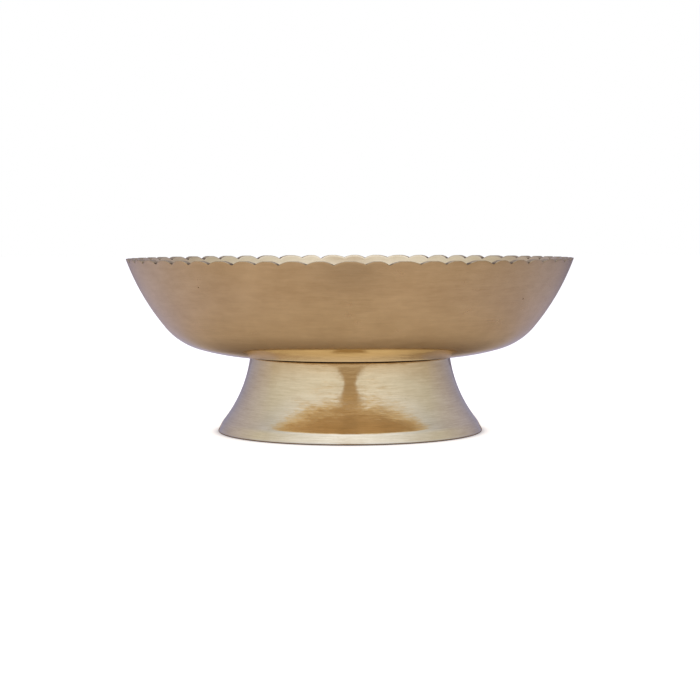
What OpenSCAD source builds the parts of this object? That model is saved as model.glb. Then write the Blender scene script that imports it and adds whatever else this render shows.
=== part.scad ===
// Brass urli bowl: a shallow open bowl with a scalloped rim, soldered onto a hollow flared foot.
// Millimetres. +Z is up, and the origin is the centre of the circle that the foot rests on.

/* [Overall size] */
// Diameter across the tops of the rim's scallops
rim_d = 108; // [104:1:112]
// Height from the table to the top of the rim
total_h = 42; // [40:0.5:45]

/* [Bowl] */
// Thickness of the bowl's wall and floor
wall = 1.5; // [1.2:0.1:2]
// Diameter of the flat middle of the underside
floor_d = 47.2; // [44:0.2:49]
// Radius of the shallow curve that leads from the flat bottom to the belly
bottom_curve_r = 47; // [40:1:52]
// Slope at which the shallow curve meets the belly, in degrees
bottom_slope = 16.5; // [14:0.5:18]
// Radius of the belly, where the bottom turns up into the side
belly_r = 15.7; // [14:0.1:17]
// Slope at which the belly meets the side, in degrees
side_slope = 50.5; // [48:0.5:53]
// Number of scallops filed round the rim
scallops = 56; // [40:1:64]
// Depth of the notches between the scallops
scallop_depth = 0.8; // [0.5:0.1:1.2]
// Width of the flat left on top of each scallop
scallop_land = 1.5; // [1:0.1:2]

/* [Foot] */
// Diameter across the foot's base edge
base_d = 64.2; // [62:0.1:67]
// Outer diameter of the neck, where the foot meets the bowl
neck_d = 48.6; // [48:0.2:50]
// Height of the foot without the solder on top of it
foot_h = 18.1; // [17:0.05:20]
// Thickness of the foot's wall
foot_wall = 2; // [1.6:0.1:2.4]
// Radius of the rounded base edge
base_edge_r = 0.3; // [0.2:0.1:0.6]
// Height of the straight band above the base edge
band_h = 2; // [1.6:0.1:2.6]
// Lean of the base band, in degrees from upright
base_lean = 27; // [22:1:29]
// Greatest lean of the wall, at the bottom of the hollow curve, in degrees
flare_lean = 38; // [35:0.5:40]
// Radius of the short curve between the base band and the hollow curve
flare_r = 5.5; // [4:0.5:8]

/* [Solder joint] */
// Thickness of the solder between the foot and the bowl
solder_t = 0.35; // [0.2:0.05:0.6]
// Depth by which the solder stays back from the neck's outside
solder_inset = 0.5; // [0.2:0.05:0.7]
// Size of the bead of solder inside the foot
solder_bead = 0.7; // [0.4:0.1:1]
// Height of the ring under the bowl that centres the foot
spigot_h = 1.6; // [1.2:0.1:2.5]
// Radial thickness of that ring
spigot_wall = 1.8; // [1.4:0.1:2.4]
// Radial gap between the ring and the foot, which the solder fills
spigot_gap = 0.3; // [0.2:0.05:0.4]

/* [Hidden] */
$fn = 180;
brass_satin = [0.65, 0.53, 0.39];
brass_bright = [0.78, 0.66, 0.45];
solder_dark = [0.25, 0.17, 0.10];
// Largest turn between two points of a curved profile, in degrees
curve_step = 1.5;
rim_r = rim_d / 2;
base_r = base_d / 2;
neck_r = neck_d / 2;
floor_r = floor_d / 2;
bowl_z = foot_h + solder_t;

// A unit vector in the plane of a profile, at an angle from its +X.
function toward(angle) = [cos(angle), sin(angle)];

// Points along an arc about c, from one angle to the other, without the first point.
function arc(c, r, from, to) = let (steps = ceil(abs(to - from) / curve_step))
    [for (i = [1 : steps]) c + r * toward(from + (to - from) * i / steps)];

// Bowl: the underside runs flat, then through three arcs, each tangent to the next, up to the rim.
bottom_c = [floor_r, bowl_z + bottom_curve_r];
bottom_end = bottom_c + bottom_curve_r * toward(bottom_slope - 90);
belly_c = bottom_end - belly_r * toward(bottom_slope - 90);
belly_end = belly_c + belly_r * toward(side_slope - 90);
// The side is the one arc that leaves the belly at its slope and reaches the rim.
side_chord = [rim_r, total_h] - belly_end;
rim_slope = 2 * atan2(side_chord.y, side_chord.x) - side_slope;
side_r = norm(side_chord) / (2 * sin((rim_slope - side_slope) / 2));
side_c = belly_end - side_r * toward(side_slope - 90);
// Angle at which the wall's inner face reaches the rim plane.
rim_in_angle = -asin((side_c.y - total_h) / (side_r - wall));
bowl_outer = concat(
    arc(bottom_c, bottom_curve_r, -90, bottom_slope - 90),
    arc(belly_c, belly_r, bottom_slope - 90, side_slope - 90),
    arc(side_c, side_r, side_slope - 90, rim_slope - 90));
bowl_inner = concat(
    [side_c + (side_r - wall) * toward(rim_in_angle)],
    arc(side_c, side_r - wall, rim_in_angle, side_slope - 90),
    arc(belly_c, belly_r - wall, side_slope - 90, bottom_slope - 90),
    arc(bottom_c, bottom_curve_r - wall, bottom_slope - 90, -90));

// Scallops: each is an arc that would rise a little above the rim, which leaves its flat land.
half_pitch = rim_r * sin(180 / scallops);
land_half = scallop_land / 2;
// Height of the arc's centre below the rim, and the arc's radius, so that it passes through the
// edge of the land and through the bottom of the notch.
scallop_drop = (half_pitch * half_pitch - land_half * land_half - scallop_depth * scallop_depth)
    / (2 * scallop_depth) + scallop_depth;
scallop_r = norm([land_half, scallop_drop]);
notch_reach = 8;
notch_top = 1;

// Foot: the wall rises from the rounded base edge through a straight band, a short curve and the
// hollow curve of the flare and neck.
edge_c = [base_r - base_edge_r, base_edge_r];
edge_end = edge_c + base_edge_r * toward(base_lean);
band_top = [edge_end.x - (band_h - edge_end.y) * tan(base_lean), band_h];
flare_c = band_top - flare_r * toward(base_lean);
flare_end = flare_c + flare_r * toward(flare_lean);
flare_in_r = flare_r - foot_wall;
// The band's inner face, from the short curve down to the table.
band_in = flare_c + flare_in_r * toward(base_lean);
rest_in_r = band_in.x + band_in.y * tan(base_lean);
// The hollow curve is the one arc that leaves the short curve at its lean and reaches the top.
neck_chord = [flare_end.x - neck_r, foot_h - flare_end.y];
neck_lean = 2 * atan2(neck_chord.x, neck_chord.y) - flare_lean;
neck_curve_r = norm(neck_chord) / (2 * sin((flare_lean - neck_lean) / 2));
neck_c = flare_end + neck_curve_r * toward(flare_lean);
neck_wall_r = neck_curve_r + foot_wall;
// Angle at which the wall's inner face reaches the top of the foot.
neck_in_angle = 180 + asin((neck_c.y - foot_h) / neck_wall_r);
neck_in_r = neck_c.x + neck_wall_r * cos(neck_in_angle);
spigot_r = neck_in_r - spigot_gap;
foot_outer = concat(
    [[edge_c.x, 0]],
    arc(edge_c, base_edge_r, -90, base_lean),
    [band_top],
    arc(flare_c, flare_r, base_lean, flare_lean),
    arc(neck_c, neck_curve_r, 180 + flare_lean, 180 + neck_lean));
foot_inner = concat(
    [neck_c + neck_wall_r * toward(neck_in_angle)],
    arc(neck_c, neck_wall_r, neck_in_angle, 180 + flare_lean),
    arc(flare_c, flare_in_r, flare_lean, base_lean),
    [[rest_in_r, 0]]);

// Radius of the neck's inner face at a height.
function neck_inside(z) = neck_c.x - sqrt(neck_wall_r * neck_wall_r - pow(neck_c.y - z, 2));

// The bowl cut through one side of its axis, with the ring under its floor that centres the foot.
module bowl_profile() {
    ring_z = bowl_z - spigot_h;
    polygon(concat(
        [[0, bowl_z], [spigot_r - spigot_wall, bowl_z], [spigot_r - spigot_wall, ring_z]],
        [[spigot_r, ring_z], [spigot_r, bowl_z], [floor_r, bowl_z]],
        bowl_outer, bowl_inner, [[0, bowl_z + wall]]));
}

// What the file takes out between two scallops, seen along the radius.
module notch_profile() {
    notch_w = 2 * half_pitch - land_half;
    difference() {
        translate([-notch_w / 2, -2 * scallop_depth])
            square([notch_w, 2 * scallop_depth + notch_top]);
        for (side = [-1, 1])
            translate([side * half_pitch, -scallop_drop])
                circle(r = scallop_r);
    }
}

module bowl() {
    color(brass_satin)
        difference() {
            rotate_extrude()
                bowl_profile();
            for (i = [0 : scallops - 1])
                rotate([0, 0, (i + 0.5) * 360 / scallops])
                    translate([rim_r - notch_reach / 2, 0, total_h])
                        rotate([90, 0, 90])
                            linear_extrude(notch_reach)
                                notch_profile();
        }
}

module foot() {
    color(brass_bright)
        rotate_extrude()
            polygon(concat(foot_outer, foot_inner));
}

// The ring of solder: the layer on top of the neck, the gap round the spigot and a bead below it.
module solder_joint() {
    ring_z = bowl_z - spigot_h;
    bead_z = ring_z - solder_bead;
    seam_r = neck_r - solder_inset;
    color(solder_dark)
        rotate_extrude()
            polygon([[spigot_r, bowl_z], [seam_r, bowl_z], [seam_r, foot_h], [neck_in_r, foot_h],
                [neck_inside(bead_z), bead_z], [spigot_r - solder_bead, ring_z], [spigot_r, ring_z]]);
}

bowl();
foot();
solder_joint();
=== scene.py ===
import math

import bpy
from mathutils import Matrix, Vector


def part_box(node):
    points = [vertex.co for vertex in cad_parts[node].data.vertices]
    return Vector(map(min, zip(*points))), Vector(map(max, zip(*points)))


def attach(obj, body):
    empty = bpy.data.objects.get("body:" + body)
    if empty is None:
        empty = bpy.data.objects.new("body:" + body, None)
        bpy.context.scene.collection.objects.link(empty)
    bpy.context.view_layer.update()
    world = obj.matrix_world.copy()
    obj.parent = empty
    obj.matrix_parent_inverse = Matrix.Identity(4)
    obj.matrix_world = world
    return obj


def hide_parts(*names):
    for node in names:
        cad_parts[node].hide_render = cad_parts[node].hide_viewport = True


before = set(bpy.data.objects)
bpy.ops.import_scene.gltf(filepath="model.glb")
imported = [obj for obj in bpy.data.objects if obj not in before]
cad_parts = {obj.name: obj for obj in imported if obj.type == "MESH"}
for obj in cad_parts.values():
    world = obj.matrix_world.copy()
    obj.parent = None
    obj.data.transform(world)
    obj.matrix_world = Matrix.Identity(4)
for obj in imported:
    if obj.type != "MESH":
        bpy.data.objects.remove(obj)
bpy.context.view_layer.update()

MM = 0.001

# The turned shapes, in millimetres and degrees. Overall sizes come from the CAD nodes' boxes.
BOWL_WALL = 1.5
FLOOR_R = 23.6
BOTTOM_CURVE_R, BOTTOM_SLOPE = 47.0, 16.5
BELLY_R, SIDE_SLOPE = 15.7, 50.5
SCALLOPS = 56
SCALLOP_DEPTH = 0.8
SCALLOP_LAND = 1.5
SOLDER_T = 0.35
SPIGOT_H, SPIGOT_WALL, SPIGOT_GAP = 1.6, 1.8, 0.3
FOOT_WALL = 2.0
NECK_R = 24.3
BASE_EDGE_R, BASE_LEAN, BAND_H = 0.3, 27.0, 2.0
FLARE_LEAN, FLARE_R = 38.0, 5.5

RIM_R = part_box("bowl")[1].x / MM
RIM_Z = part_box("bowl")[1].z / MM
BASE_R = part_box("foot")[1].x / MM
FOOT_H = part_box("foot")[1].z / MM
BOWL_Z = FOOT_H + SOLDER_T
# Height of the band below the rim that bends to follow the scallops, and the part of it, from the
# bottom up, over which it comes to follow them in full.
LIP_FALL = 3.6
LIP_BLEND = 0.7
# Points nearer to the rim's top than this belong to its top face.
RIM_TOP_BAND = 0.09
# Points near a rounded corner of the rim: depth in from the face, and drop below the top.
RIM_CORNER = ((0.02, 0.08), (0.05, 0.04), (0.1, 0.01), (0.16, 0.0))
# Columns of the mesh for each scallop's share of the turn.
BOWL_COLUMNS, FOOT_COLUMNS = 12, 5

# On the underside, in metres from the axis: where the polish ends, and where it is all satin.
POLISH_END, SATIN_START = 0.039, 0.046
WHITE = (1.0, 1.0, 1.0, 1.0)
BLACK = (0.0, 0.0, 0.0, 1.0)


# ---------------------------------------------------------------- node expressions

class Wire:
    """A socket that takes part in Python sums: each operator adds its Math node."""

    def __init__(self, bench, socket):
        self.bench = bench
        self.socket = socket

    def _math(self, operation, *values):
        return self.bench.fn(operation, *values)

    def __add__(self, other):
        return self._math("ADD", self, other)

    def __radd__(self, other):
        return self._math("ADD", other, self)

    def __sub__(self, other):
        return self._math("SUBTRACT", self, other)

    def __rsub__(self, other):
        return self._math("SUBTRACT", other, self)

    def __mul__(self, other):
        return self._math("MULTIPLY", self, other)

    def __rmul__(self, other):
        return self._math("MULTIPLY", other, self)

    def __truediv__(self, other):
        return self._math("DIVIDE", self, other)

    def __rtruediv__(self, other):
        return self._math("DIVIDE", other, self)

    def __pow__(self, other):
        return self._math("POWER", self, other)

    def __mod__(self, other):
        return self._math("FLOORED_MODULO", self, other)

    def __neg__(self):
        return self._math("MULTIPLY", self, -1.0)

    def __gt__(self, other):
        return self._math("GREATER_THAN", self, other)


class Bench:
    """Adds nodes to one node tree."""

    def __init__(self, tree):
        self.tree = tree

    def add(self, kind, settings=None, sockets=(), output=0):
        """Adds a node: settings first, then its sockets by place or by name. Returns one output."""
        node = self.tree.nodes.new(kind)
        for name, value in (settings or {}).items():
            if name == "stops":
                self._stops(node.color_ramp, value)
            else:
                setattr(node, name, value)
        pairs = sockets.items() if isinstance(sockets, dict) else enumerate(sockets)
        for key, value in pairs:
            socket = node.inputs[key]
            if isinstance(value, Wire):
                self.tree.links.new(value.socket, socket)
            elif value is not None:
                socket.default_value = value
        return Wire(self, node.outputs[output]) if len(node.outputs) else node

    @staticmethod
    def _stops(ramp, stops):
        while len(ramp.elements) < len(stops):
            ramp.elements.new(0.5)
        for element, (place, colour) in zip(ramp.elements, stops):
            element.position = place
            element.color = colour

    def other(self, wire, output):
        """Another output of the node that a wire comes from."""
        return Wire(self, wire.socket.node.outputs[output])

    def fn(self, operation, *values):
        return self.add("ShaderNodeMath", {"operation": operation}, values)

    def least(self, a, b):
        return self.fn("MINIMUM", a, b)

    def most(self, a, b):
        return self.fn("MAXIMUM", a, b)

    def root(self, a):
        return self.fn("SQRT", a)

    def ramp(self, value, low, high, to_low=0.0, to_high=1.0, smooth=False):
        """Value's place between low and high, clamped and set between two other numbers."""
        kind = "SMOOTHSTEP" if smooth else "LINEAR"
        return self.add("ShaderNodeMapRange", {"interpolation_type": kind, "clamp": True},
                        (value, low, high, to_low, to_high))

    def vector(self, x, y, z):
        return self.add("ShaderNodeCombineXYZ", {}, (x, y, z))

    def parts(self, vector):
        x = self.add("ShaderNodeSeparateXYZ", {}, (vector,))
        return x, self.other(x, 1), self.other(x, 2)

    def blend(self, factor, a, b, mode="MIX"):
        """Mixes two colours."""
        mix = self.add("ShaderNodeMix", {"data_type": "RGBA", "blend_type": mode}, output=2)
        node = mix.socket.node
        colours = [s for s in node.inputs if s.type == "RGBA"]
        for socket, value in ((node.inputs[0], factor), (colours[0], a), (colours[1], b)):
            if isinstance(value, Wire):
                self.tree.links.new(value.socket, socket)
            else:
                socket.default_value = value
        return mix

    def noise(self, vector, scale, detail=2.0, roughness=0.5, distortion=0.0):
        return self.add("ShaderNodeTexNoise", {"noise_dimensions": "3D"},
                        {"Vector": vector, "Scale": scale, "Detail": detail,
                         "Roughness": roughness, "Distortion": distortion})


# ---------------------------------------------------------------- profiles

def toward(angle):
    """A unit vector in the plane of a profile, at an angle in degrees from outwards."""
    return Vector((math.cos(math.radians(angle)), math.sin(math.radians(angle))))


def arc(centre, radius, start, end, step=1.5):
    """Points along an arc, without its first point."""
    count = max(1, math.ceil(abs(end - start) / step))
    return [centre + radius * toward(start + (end - start) * i / count) for i in range(1, count + 1)]


def run(points, *more, gap=0.12):
    """Adds corner points, each held by two near neighbours so that smooth shading keeps it crisp."""
    for corner in more:
        corner = Vector(corner)
        last = points[-1]
        step = (corner - last).normalized() * min(gap, (corner - last).length / 3)
        points += [last + step, corner - step, corner]
    return points


class BowlShape:
    """The arcs of the bowl's wall, each tangent to the next."""

    def __init__(self):
        self.bottom_c = Vector((FLOOR_R, BOWL_Z + BOTTOM_CURVE_R))
        bottom_end = self.bottom_c + BOTTOM_CURVE_R * toward(BOTTOM_SLOPE - 90)
        self.belly_c = bottom_end - BELLY_R * toward(BOTTOM_SLOPE - 90)
        belly_end = self.belly_c + BELLY_R * toward(SIDE_SLOPE - 90)
        chord = Vector((RIM_R, RIM_Z)) - belly_end
        self.rim_slope = 2 * math.degrees(math.atan2(chord.y, chord.x)) - SIDE_SLOPE
        self.side_r = chord.length / (2 * math.sin(math.radians((self.rim_slope - SIDE_SLOPE) / 2)))
        self.side_c = belly_end - self.side_r * toward(SIDE_SLOPE - 90)

    def side_point(self, depth, z):
        """The point at height z in the side wall, at a depth in from its outer face."""
        radius = self.side_r - depth
        return Vector((self.side_c.x + math.sqrt(radius ** 2 - (self.side_c.y - z) ** 2), z))


def bowl_profile(shape):
    """Points from the middle of the underside, over the rim, to the middle of the inside.

    Each point is (radius, height, depth in the side wall, how far it follows the scallops, whether it
    is on the rim's top face, whether it is on the inside)."""
    ring_z = BOWL_Z - SPIGOT_H
    neck_in = neck_inner_r()
    spigot_r = neck_in - SPIGOT_GAP
    points = [Vector((0.0, BOWL_Z)), Vector((8.0, BOWL_Z))]
    run(points, (spigot_r - SPIGOT_WALL, BOWL_Z), (spigot_r - SPIGOT_WALL, ring_z),
        (spigot_r, ring_z), (spigot_r, BOWL_Z), (FLOOR_R, BOWL_Z))
    points += arc(shape.bottom_c, BOTTOM_CURVE_R, -90, BOTTOM_SLOPE - 90)
    points += arc(shape.belly_c, BELLY_R, BOTTOM_SLOPE - 90, SIDE_SLOPE - 90)
    lip_z = RIM_Z - LIP_FALL
    lip_angle = -math.degrees(math.asin((shape.side_c.y - lip_z) / shape.side_r))
    points += arc(shape.side_c, shape.side_r, SIDE_SLOPE - 90, lip_angle)
    rows = [(p.x, p.y, 0.0, 0.0, 0.0, 0.0) for p in points]
    # The lip, which the scallops are filed into: up the outside, over the edge and down the inside.
    ease, steps = 0.13, 8
    heights = [lip_z + (LIP_FALL - ease) * i / steps for i in range(1, steps + 1)]
    lip = [(0.0, z) for z in heights]
    lip += [(depth, RIM_Z - drop) for depth, drop in RIM_CORNER]
    lip += [(depth, RIM_Z) for depth in (0.45, BOWL_WALL / 2, BOWL_WALL - 0.45)]
    lip += [(BOWL_WALL - depth, RIM_Z - drop) for depth, drop in reversed(RIM_CORNER)]
    lip += [(BOWL_WALL, z) for z in reversed(heights)]
    for depth, z in lip:
        follow = max(0.0, (z - lip_z) / LIP_FALL)
        on_top = float(RIM_Z - z < RIM_TOP_BAND)
        inside = float(depth > BOWL_WALL / 2)
        radius = shape.side_point(depth, z).x
        rows.append((radius, z, depth, min(1.0, follow / LIP_BLEND), on_top, inside))
    inner_r = shape.side_r - BOWL_WALL
    inner_lip = -math.degrees(math.asin((shape.side_c.y - lip_z) / inner_r))
    points = arc(shape.side_c, inner_r, inner_lip, SIDE_SLOPE - 90)
    points += arc(shape.belly_c, BELLY_R - BOWL_WALL, SIDE_SLOPE - 90, BOTTOM_SLOPE - 90)
    points += arc(shape.bottom_c, BOTTOM_CURVE_R - BOWL_WALL, BOTTOM_SLOPE - 90, -90)
    points += [Vector((r, BOWL_Z + BOWL_WALL)) for r in (18.0, 12.0, 6.0, 0.0)]
    rows += [(p.x, p.y, 0.0, 0.0, 0.0, 1.0) for p in points]
    return rows


def foot_arcs():
    """Centres, radii and angles of the foot's outer wall, from the base edge up to the neck."""
    edge_c = Vector((BASE_R - BASE_EDGE_R, BASE_EDGE_R))
    edge_end = edge_c + BASE_EDGE_R * toward(BASE_LEAN)
    taper = math.tan(math.radians(BASE_LEAN))
    band_top = Vector((edge_end.x - (BAND_H - edge_end.y) * taper, BAND_H))
    flare_c = band_top - FLARE_R * toward(BASE_LEAN)
    flare_end = flare_c + FLARE_R * toward(FLARE_LEAN)
    chord = Vector((flare_end.x - NECK_R, FOOT_H - flare_end.y))
    neck_lean = 2 * math.degrees(math.atan2(chord.x, chord.y)) - FLARE_LEAN
    neck_curve_r = chord.length / (2 * math.sin(math.radians((FLARE_LEAN - neck_lean) / 2)))
    neck_c = flare_end + neck_curve_r * toward(FLARE_LEAN)
    return edge_c, flare_c, neck_c, neck_curve_r, neck_lean


def neck_inner_r():
    """Radius of the foot's inner face at its top."""
    neck_c, neck_curve_r = foot_arcs()[2:4]
    angle = 180 + math.degrees(math.asin((neck_c.y - FOOT_H) / (neck_curve_r + FOOT_WALL)))
    return (neck_c + (neck_curve_r + FOOT_WALL) * toward(angle)).x


def foot_profile():
    """Points round the foot's wall, from the resting ring up the outside and down the inside.

    Each point has the same numbers as in the bowl's profile."""
    edge_c, flare_c, neck_c, neck_curve_r, neck_lean = foot_arcs()
    inner_neck_r, inner_flare_r = neck_curve_r + FOOT_WALL, FLARE_R - FOOT_WALL
    band_in = flare_c + inner_flare_r * toward(BASE_LEAN)
    start = Vector((band_in.x + band_in.y * math.tan(math.radians(BASE_LEAN)), 0.0))
    points = [start]
    run(points, (edge_c.x, 0.0))
    points += arc(edge_c, BASE_EDGE_R, -90, BASE_LEAN, step=12)
    run(points, flare_c + FLARE_R * toward(BASE_LEAN), gap=0.05)
    points += arc(flare_c, FLARE_R, BASE_LEAN, FLARE_LEAN, step=1)
    points += arc(neck_c, neck_curve_r, 180 + FLARE_LEAN, 180 + neck_lean)
    top_angle = 180 + math.degrees(math.asin((neck_c.y - FOOT_H) / inner_neck_r))
    ease = 0.08
    corner = points.pop()
    down = (points[-1] - corner).normalized()
    points += [corner + down * 0.3, corner + down * ease]
    points += [Vector((NECK_R - 0.03, FOOT_H - 0.015)), Vector((NECK_R - ease, FOOT_H))]
    outer_count = len(points)
    run(points, neck_c + inner_neck_r * toward(top_angle))
    points += arc(neck_c, inner_neck_r, top_angle, 180 + FLARE_LEAN)
    points += arc(flare_c, inner_flare_r, FLARE_LEAN, BASE_LEAN, step=2)
    run(points, start)
    return [(p.x, p.y, 0.0, 0.0, 0.0, float(i >= outer_count)) for i, p in enumerate(points)]


# ---------------------------------------------------------------- turning

def turning_tree(name, sizes, columns):
    """A Geometry Nodes tree that turns a profile round Z and files scallops into its lip.

    The profile comes in as a row of points with six numbers each. Sizes are in metres. The mesh
    carries three numbers for its finish: edge, on the rim's top face; filed, in the notches; and
    inner, on the inner faces."""
    tree = bpy.data.node_groups.new(name, "GeometryNodeTree")
    face = tree.interface
    face.new_socket("Profile", in_out="INPUT", socket_type="NodeSocketGeometry")
    for label, value in sizes.items():
        kind = "NodeSocketInt" if isinstance(value, int) else "NodeSocketFloat"
        face.new_socket(label, in_out="INPUT", socket_type=kind).default_value = value
    face.new_socket("Finish", in_out="INPUT", socket_type="NodeSocketMaterial")
    face.new_socket("Turned", in_out="OUTPUT", socket_type="NodeSocketGeometry")
    b = Bench(tree)
    source = tree.nodes.new("NodeGroupInput")
    into = {s.name: Wire(b, s) for s in source.outputs if s.name}
    rows, scallops = into["Rows"], into["Scallops"]

    sheet = b.add("GeometryNodeMeshGrid", {}, (1.0, 1.0, columns + 1, rows))
    x, y, _ = b.parts(b.add("GeometryNodeInputPosition"))
    column = b.fn("ROUND", (x + 0.5) * columns)
    row = b.fn("ROUND", (y + 0.5) * (rows - 1))

    def sampled(kind, value):
        node = b.add("GeometryNodeSampleIndex", {"data_type": kind, "domain": "POINT"})
        picker = node.socket.node
        tree.links.new(into["Profile"].socket, picker.inputs["Geometry"])
        tree.links.new(value.socket, picker.inputs["Value"])
        tree.links.new(row.socket, picker.inputs["Index"])
        return node

    def attribute(label):
        return b.add("GeometryNodeInputNamedAttribute", {"data_type": "FLOAT"}, {"Name": label})

    radius, _, height = b.parts(sampled("FLOAT_VECTOR", b.add("GeometryNodeInputPosition")))
    depth = sampled("FLOAT", attribute("depth"))
    follow = sampled("FLOAT", attribute("follow"))
    on_top = sampled("FLOAT", attribute("on_top"))
    inside = sampled("FLOAT", attribute("inside"))

    # Each scallop has the same number of columns, drawn together near the notches.
    per_scallop = columns / scallops
    scallop = b.fn("FLOOR", (column + 0.001) / per_scallop)
    place = (column - scallop * per_scallop) / per_scallop
    drawn = place - b.fn("SINE", place * math.tau) * (0.8 / math.tau)

    def random_pair(low, high, seed):
        """A fixed random number for the notch on each side; the last notch is the first one again."""
        pair = []
        for index in (scallop, scallop + 1):
            node = b.add("FunctionNodeRandomValue", {"data_type": "FLOAT"}, output=1)
            maker = node.socket.node
            maker.inputs[2].default_value, maker.inputs[3].default_value = low, high
            tree.links.new((index % scallops).socket, maker.inputs["ID"])
            maker.inputs["Seed"].default_value = seed
            pair.append(node)
        return pair

    here, after = random_pair(-1.0, 1.0, 3)
    pitch = math.tau / scallops
    slip = into["Spacing slip"]
    turn = (scallop + slip * here) * (1 - drawn) + (scallop + 1 + slip * after) * drawn
    even = (turn + 0.5) * pitch
    angle = even - into["Far drift"] * b.most(b.fn("SINE", even), 0.0)
    half_pitch = into["Rim radius"] * b.fn("SINE", pitch / 2)
    fall, land = into["Notch depth"], into["Land"] / 2
    drop = (half_pitch * half_pitch - land * land - fall * fall) / (2 * fall) + fall
    arc_r2 = land * land + drop * drop
    aside = (drawn - 0.5) * 2 * half_pitch
    notch = b.most(drop - b.root(b.most(arc_r2 - aside * aside, 0.0)), 0.0)
    deep_here, deep_after = random_pair(-1.0, 1.0, 8)
    deeper = 1 - into["Depth slip"] * (deep_here * (1 - drawn) + deep_after * drawn)
    notch = b.least(notch * deeper, fall) * into["Scalloped"]

    # Points in the lip slide down along the wall's own curve.
    lowered = height - follow * notch
    shell = into["Side radius"] - depth
    drop_z = into["Side centre z"] - lowered
    on_wall = into["Side centre r"] + b.root(b.most(shell * shell - drop_z * drop_z, 0.0))
    in_lip = (follow > 0.0) * into["Scalloped"]
    out = radius * (1 - in_lip) + on_wall * in_lip
    spot = b.vector(out * b.fn("COSINE", angle), out * b.fn("SINE", angle), lowered)
    # The finish's numbers are stored first, while the points still lie on the flat sheet.
    for label, value in (("edge", on_top), ("filed", on_top * notch / fall), ("inner", inside)):
        sheet = b.add("GeometryNodeStoreNamedAttribute", {"data_type": "FLOAT", "domain": "POINT"},
                      {"Geometry": sheet, "Name": label, "Value": value})
    moved = b.add("GeometryNodeSetPosition", {}, {"Geometry": sheet, "Position": spot})
    joined = b.add("GeometryNodeMergeByDistance", {}, {"Geometry": moved, "Distance": 2e-7})
    smooth = b.add("GeometryNodeSetShadeSmooth", {}, {"Geometry": joined, "Shade Smooth": True})
    real = b.add("GeometryNodeRealizeInstances", {}, {"Geometry": smooth})
    dressed = b.add("GeometryNodeSetMaterial", {}, {"Geometry": real, "Material": into["Finish"]})
    sink = tree.nodes.new("NodeGroupOutput")
    tree.links.new(dressed.socket, sink.inputs[0])
    return tree


def turned_piece(name, rows, sizes, columns, material):
    """Turns a profile into a closed mesh object, with nothing left live on it."""
    mesh = bpy.data.meshes.new(name + "_profile")
    points = [(row[0] * MM, 0.0, row[1] * MM) for row in rows]
    mesh.from_pydata(points, [(i, i + 1) for i in range(len(points) - 1)], [])
    for label, column in (("depth", 2), ("follow", 3), ("on_top", 4), ("inside", 5)):
        scale = MM if label == "depth" else 1.0
        layer = mesh.attributes.new(label, "FLOAT", "POINT")
        layer.data.foreach_set("value", [row[column] * scale for row in rows])
    holder = bpy.data.objects.new(name + "_profile", mesh)
    bpy.context.scene.collection.objects.link(holder)
    sizes = dict(sizes, Rows=len(rows))
    tree = turning_tree(name + " turning", sizes, columns)
    lathe = holder.modifiers.new("Turning", "NODES")
    lathe.node_group = tree
    for item in tree.interface.items_tree:
        if item.item_type == "SOCKET" and item.in_out == "INPUT" and item.name in sizes:
            lathe[item.identifier] = sizes[item.name]
        if item.item_type == "SOCKET" and item.name == "Finish":
            lathe[item.identifier] = material
    bpy.context.view_layer.update()
    graph = bpy.context.evaluated_depsgraph_get()
    turned = bpy.data.meshes.new_from_object(holder.evaluated_get(graph))
    turned.name = name
    holder.modifiers.clear()
    bpy.data.objects.remove(holder)
    piece = bpy.data.objects.new(name, turned)
    bpy.context.scene.collection.objects.link(piece)
    if not turned.materials:
        turned.materials.append(material)
    return piece


# ---------------------------------------------------------------- finishes

def new_material(name):
    material = bpy.data.materials.new(name)
    material.use_nodes = True
    material.node_tree.nodes.clear()
    return material, Bench(material.node_tree)


def finish_with(b, shader):
    out = b.tree.nodes.new("ShaderNodeOutputMaterial")
    b.tree.links.new(shader.socket, out.inputs["Surface"])


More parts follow.
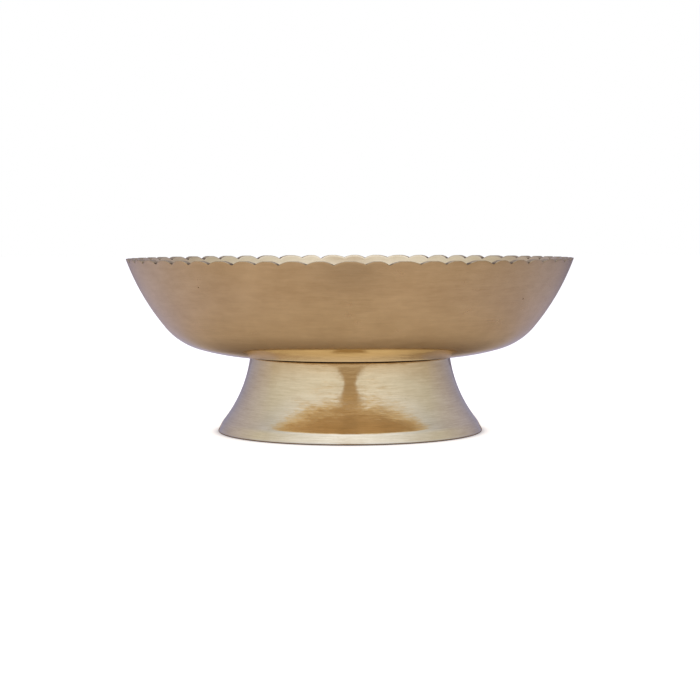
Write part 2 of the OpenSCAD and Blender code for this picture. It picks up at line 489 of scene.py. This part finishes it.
def brass(name, tint, painted_gleam, roughness, polish, brushing, streaks, waviness, rise):
    """Turned brass: fine lathe lines round the axis, soft uneven tone, specks, and a dark filed rim with
    painted shade in the notch bottoms.

    On the outside, roughness falls to polish near the axis, and the gleam argument, a painted brightening
    of the reflection there, lifts the tint. Brushing and waviness set how deep the lathe lines and the
    slow waves of the surface are, and streaks how much the lines show in the tone. Rise is 1 where the
    wall opens upwards and -1 where it opens downwards."""
    material, b = new_material(name)
    place = b.add("ShaderNodeTexCoord", output="Object")
    x, y, z = b.parts(place)
    radius = b.root(x * x + y * y)
    along = z + rise * radius
    # Lathe lines change quickly along the profile and slowly round it.
    fine = b.noise(b.vector(x * 0.07, y * 0.07, along), 2600.0, 4.0, 0.75)
    broad = b.noise(b.vector(x * 0.30, y * 0.30, along), 560.0, 3.0, 0.6)
    clouds = b.noise(place, 60.0, 5.0, 0.6, 0.4)
    mottle = b.noise(place, 420.0, 3.0, 0.6)
    waves = b.noise(b.vector(x, y, z * 1.3), 230.0, 2.0, 0.5)
    cells = b.add("ShaderNodeTexVoronoi", {"feature": "F1"}, {"Vector": place, "Scale": 230.0})
    chosen = b.noise(place, 75.0, 1.0, 0.5)
    specks = b.ramp(cells, 0.03, 0.08, 1.0, 0.0) * b.ramp(chosen, 0.59, 0.64)
    scuffs = b.ramp(b.noise(b.vector(x, y, z * 2.5), 130.0, 4.0, 0.7, 1.2), 0.60, 0.74)
    edge, filed, inner = (b.add("ShaderNodeAttribute", {"attribute_name": label}, output="Fac")
                          for label in ("edge", "filed", "inner"))
    # Only the bottoms of the notches are darkened: painted shade in the V of each notch.
    filed = b.ramp(filed, 0.5, 0.85)

    def shade(*factors):
        return tuple(c * f for c, f in zip(tint, factors)) + (1.0,)

    tone = b.ramp(clouds, 0.32, 0.68) * (0.7 - streaks) + b.ramp(fine, 0.30, 0.70) * streaks
    tone = tone + b.ramp(broad, 0.36, 0.64) * 0.2 + b.ramp(mottle, 0.36, 0.64) * 0.1
    colour = b.blend(tone, shade(0.80, 0.77, 0.71), shade(1.11, 1.13, 1.15))
    colour = b.blend(scuffs * 0.4, colour, shade(0.84, 0.79, 0.72))
    colour = b.blend(specks * 0.8, colour, shade(0.34, 0.28, 0.24))
    outward = b.most(b.ramp(radius, POLISH_END, SATIN_START, smooth=True), inner)
    # Painted gleam: near the axis the underside's tint is lifted, which brightens its reflection.
    colour = b.blend(1 - outward, colour, painted_gleam + (1.0,), mode="MULTIPLY")
    # Painted shade: a thin grey line of contact shadow along the edge that rests on the table.
    colour = b.blend(b.ramp(z, 0.0002, 0.0006, 0.8, 0.0), colour, (0.60, 0.60, 0.62, 1.0))
    colour = b.blend(edge * 0.5, colour, shade(0.38, 0.35, 0.31))
    # Painted shade in the notch bottoms.
    colour = b.blend(filed * edge * 0.9, colour, shade(0.15, 0.11, 0.08))
    rough = polish + outward * (roughness - polish) + (clouds - 0.5) * 0.06 + (broad - 0.5) * 0.04
    rough = b.most(rough, 0.03) + inner * 0.06 + scuffs * 0.05 + specks * 0.3 + edge * 0.2
    lines = (fine - 0.5) + (broad - 0.5) * 0.8 + (mottle - 0.5) * 0.25
    height = lines * (0.25 + outward * 0.75) * brushing - specks * 0.5 + (waves - 0.5) * waviness
    bump = b.add("ShaderNodeBump", {}, {"Strength": 1.0, "Distance": 0.00003, "Height": height})
    shader = b.add("ShaderNodeBsdfPrincipled", {}, {
        "Base Color": colour, "Metallic": 1.0, "Roughness": rough, "Normal": bump,
        "Anisotropic": 0.35, "Anisotropic Rotation": 0.25})
    finish_with(b, shader)
    return material


def solder_finish():
    """Dark, scaly brazing alloy."""
    material, b = new_material("tarnished_solder")
    place = b.add("ShaderNodeTexCoord", output="Object")
    scale = b.noise(place, 900.0, 4.0, 0.6)
    colour = b.blend(b.ramp(scale, 0.35, 0.7), (0.02, 0.012, 0.006, 1.0), (0.09, 0.05, 0.025, 1.0))
    bump = b.add("ShaderNodeBump", {}, {"Strength": 0.5, "Distance": 0.0001, "Height": scale})
    shader = b.add("ShaderNodeBsdfPrincipled", {}, {
        "Base Color": colour, "Metallic": 0.6, "Roughness": b.ramp(scale, 0.3, 0.7, 0.45, 0.75),
        "Normal": bump})
    finish_with(b, shader)
    return material


# ---------------------------------------------------------------- studio

def camera_in_place():
    """A little above the rim and looking slightly down, as a long lens sees a small bowl on a table."""
    lens = bpy.data.cameras.new("camera")
    lens.sensor_width = 36.0
    lens.lens = 90.76
    lens.clip_start = 0.01
    holder = bpy.data.objects.new("camera", lens)
    bpy.context.scene.collection.objects.link(holder)
    away, above_rim, pitch, roll = 0.4288, 0.00622, 3.824, -0.161
    look = Matrix.Rotation(math.radians(90 - pitch), 4, "X") @ Matrix.Rotation(math.radians(roll), 4, "Z")
    holder.matrix_world = Matrix.Translation((0.0, -away, RIM_Z * MM + above_rim)) @ look
    bpy.context.scene.camera = holder


def white_table():
    """A white table top, which brass sees darker and warmer than the camera does."""
    size = 3.0
    mesh = bpy.data.meshes.new("table_top")
    corners = [(-size, -size, 0.0), (size, -size, 0.0), (size, size, 0.0), (-size, size, 0.0)]
    mesh.from_pydata(corners, [], [(0, 1, 2, 3)])
    floor = bpy.data.objects.new("table_top", mesh)
    bpy.context.scene.collection.objects.link(floor)
    material, b = new_material("table_white")
    x, y, _ = b.parts(b.add("ShaderNodeTexCoord", output="Object"))
    # Warm in front, where the light falls, then cooler beside the foot and dim behind.
    tone = b.blend(b.ramp(y, -0.07, 0.03), (0.675, 0.512, 0.36, 1.0), (0.65, 0.55, 0.54, 1.0))
    tone = b.blend(b.ramp(y, 0.03, 0.40), tone, (0.40, 0.345, 0.37, 1.0))
    # The table is darker to the right, away from the light.
    tone = b.blend(b.ramp(x, 0.03, 0.16) * 0.25, tone, BLACK)
    # Brass throws gold light on the table under the rim, and the bowl shades it close to the foot.
    radius = b.root(x * x + y * y)
    tone = b.blend(b.ramp(radius, 0.052, 0.075, 0.6, 0.0), tone, (0.80, 0.635, 0.42, 1.0))
    tone = b.blend(b.ramp(radius, 0.034, 0.050, 0.34, 0.0), tone, (0.22, 0.11, 0.03, 1.0))
    # The shade of the camera lies across the table in front.
    shade = b.ramp(b.fn("ABSOLUTE", x), 0.008, 0.03, 1.0, 0.0) * b.ramp(-y, 0.065, 0.09)
    shade = shade * b.ramp(-y, 0.12, 0.16, 1.0, 0.0)
    tone = b.blend(shade * 0.22, tone, BLACK)
    matt = b.add("ShaderNodeBsdfPrincipled", {}, {
        "Base Color": tone, "Roughness": 1.0, "Specular IOR Level": 0.0})
    # A thin grey line of contact shadow runs round the foot.
    shadow_width = 0.0025
    contact = b.ramp(radius, BASE_R * MM, BASE_R * MM + shadow_width, 1.0, 0.0)
    glow_tone = b.blend(contact ** 2.0, WHITE, (0.45, 0.46, 0.50, 1.0))
    glow = b.add("ShaderNodeEmission", {}, {"Color": glow_tone, "Strength": 0.9})
    seen = b.add("ShaderNodeLightPath", output="Is Camera Ray")
    both = b.add("ShaderNodeAddShader", {}, (matt, glow))
    finish_with(b, b.add("ShaderNodeMixShader", {}, (seen, matt, both)))
    mesh.materials.append(material)


def white_room():
    """White all round, which brass sees as soft light that is brightest in front."""
    world = bpy.data.worlds.new("room")
    bpy.context.scene.world = world
    world.use_nodes = True
    world.node_tree.nodes.clear()
    b = Bench(world.node_tree)
    x, y, z = b.parts(b.add("ShaderNodeTexCoord", output="Generated"))
    level_r = b.root(b.most(x * x + y * y, 0.0001))
    ahead, aside = -y / level_r, b.fn("ABSOLUTE", x) / level_r
    above = b.ramp(z, 0.45, 0.80, smooth=True)
    low = b.ramp(z, 0.08, 0.42, smooth=True)
    # The large soft lights stand in front and above, with a weaker one to the left.
    level = (0.60 + ahead * 0.23) * (0.84 + low * 0.16) + above * ahead * 0.18
    level = level + b.ramp(-x, 0.3, 0.9) * 0.05
    # The camera and its holder stand between the lights as one dark upright with a narrow waist.
    width = b.fn("ABSOLUTE", z - 0.46) * 0.70 + 0.10
    holder = b.ramp(aside / width, 0.75, 1.25, 1.0, 0.0, smooth=True) * (ahead > 0.0)
    holder = holder * b.ramp(z, 0.10, 0.16) * b.ramp(z, 0.62, 0.75, 1.0, 0.0, smooth=True)
    # Warm near the table and bluer higher up and behind.
    light = b.blend(low, (1.0, 0.92, 0.88, 1.0), (0.95, 1.0, 1.12, 1.0))
    light = b.blend(above, light, (0.97, 1.12, 1.55, 1.0))
    light = b.blend(b.ramp(z, 0.80, 0.90), light, (1.0, 1.17, 1.72, 1.0))
    light = b.blend(b.ramp(-ahead, 0.1, 0.9), light, (0.98, 0.99, 1.45, 1.0))
    light = b.blend(holder, light, (0.49, 0.375, 0.26, 1.0))
    room = b.add("ShaderNodeBackground", {}, {"Color": light, "Strength": level})
    white = b.add("ShaderNodeBackground", {}, {"Color": WHITE, "Strength": 1.0})
    seen = b.add("ShaderNodeLightPath", output="Is Camera Ray")
    shown = b.add("ShaderNodeMixShader", {}, (seen, room, white))
    out = b.tree.nodes.new("ShaderNodeOutputWorld")
    b.tree.links.new(shown.socket, out.inputs["Surface"])


def soft_light(name, place, aim, size, power):
    """A large soft panel turned to face a point."""
    lamp = bpy.data.lights.new(name, "AREA")
    lamp.shape = "RECTANGLE"
    lamp.size, lamp.size_y = size
    lamp.energy = power
    holder = bpy.data.objects.new(name, lamp)
    bpy.context.scene.collection.objects.link(holder)
    turn = (Vector(aim) - Vector(place)).to_track_quat("-Z", "Y")
    holder.matrix_world = Matrix.Translation(place) @ turn.to_matrix().to_4x4()


# ---------------------------------------------------------------- the bowl

def build_bowl():
    shape = BowlShape()
    satin = brass("satin_brass", (0.90, 0.71, 0.43), (1.03, 1.09, 1.15),
                  0.24, 0.05, 0.5, 0.25, 0.4, 1.0)
    sizes = {
        "Rows": 2, "Scallops": SCALLOPS, "Scalloped": 1.0, "Rim radius": RIM_R * MM,
        "Notch depth": SCALLOP_DEPTH * MM, "Land": SCALLOP_LAND * MM,
        "Spacing slip": 0.10, "Depth slip": 0.25, "Far drift": math.radians(1.37),
        "Side radius": shape.side_r * MM, "Side centre r": shape.side_c.x * MM,
        "Side centre z": shape.side_c.y * MM,
    }
    bowl = turned_piece("turned_bowl", bowl_profile(shape), sizes, SCALLOPS * BOWL_COLUMNS, satin)
    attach(bowl, "root")
    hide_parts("bowl")
    return bowl


def build_foot():
    bright = brass("bright_brass", (0.91, 0.73, 0.45), (1.0, 1.0, 1.0),
                   0.085, 0.085, 0.9, 0.6, 1.5, -1.0)
    # The foot is turned on the same lathe with nothing filed, so its side arc is only a stand-in.
    sizes = {
        "Rows": 2, "Scallops": SCALLOPS, "Scalloped": 0.0, "Rim radius": RIM_R * MM,
        "Notch depth": SCALLOP_DEPTH * MM, "Land": SCALLOP_LAND * MM,
        "Spacing slip": 0.0, "Depth slip": 0.0, "Far drift": 0.0,
        "Side radius": BASE_R * MM, "Side centre r": 0.0, "Side centre z": 0.0,
    }
    foot = turned_piece("turned_foot", foot_profile(), sizes, SCALLOPS * FOOT_COLUMNS, bright)
    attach(foot, "root")
    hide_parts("foot")
    return foot


def dress_solder():
    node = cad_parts["solder_joint"]
    dull = solder_finish()
    if node.material_slots:
        for holder in node.material_slots:
            holder.material = dull
    else:
        node.data.materials.append(dull)


camera_in_place()
white_table()
white_room()
soft_light("top_panel", (0.0, 0.1, 1.1), (0.0, 0.0, 0.02), (1.0, 1.0), 2.0)
bpy.context.scene.view_settings.view_transform = "Standard"
build_bowl()
build_foot()
dress_solder()
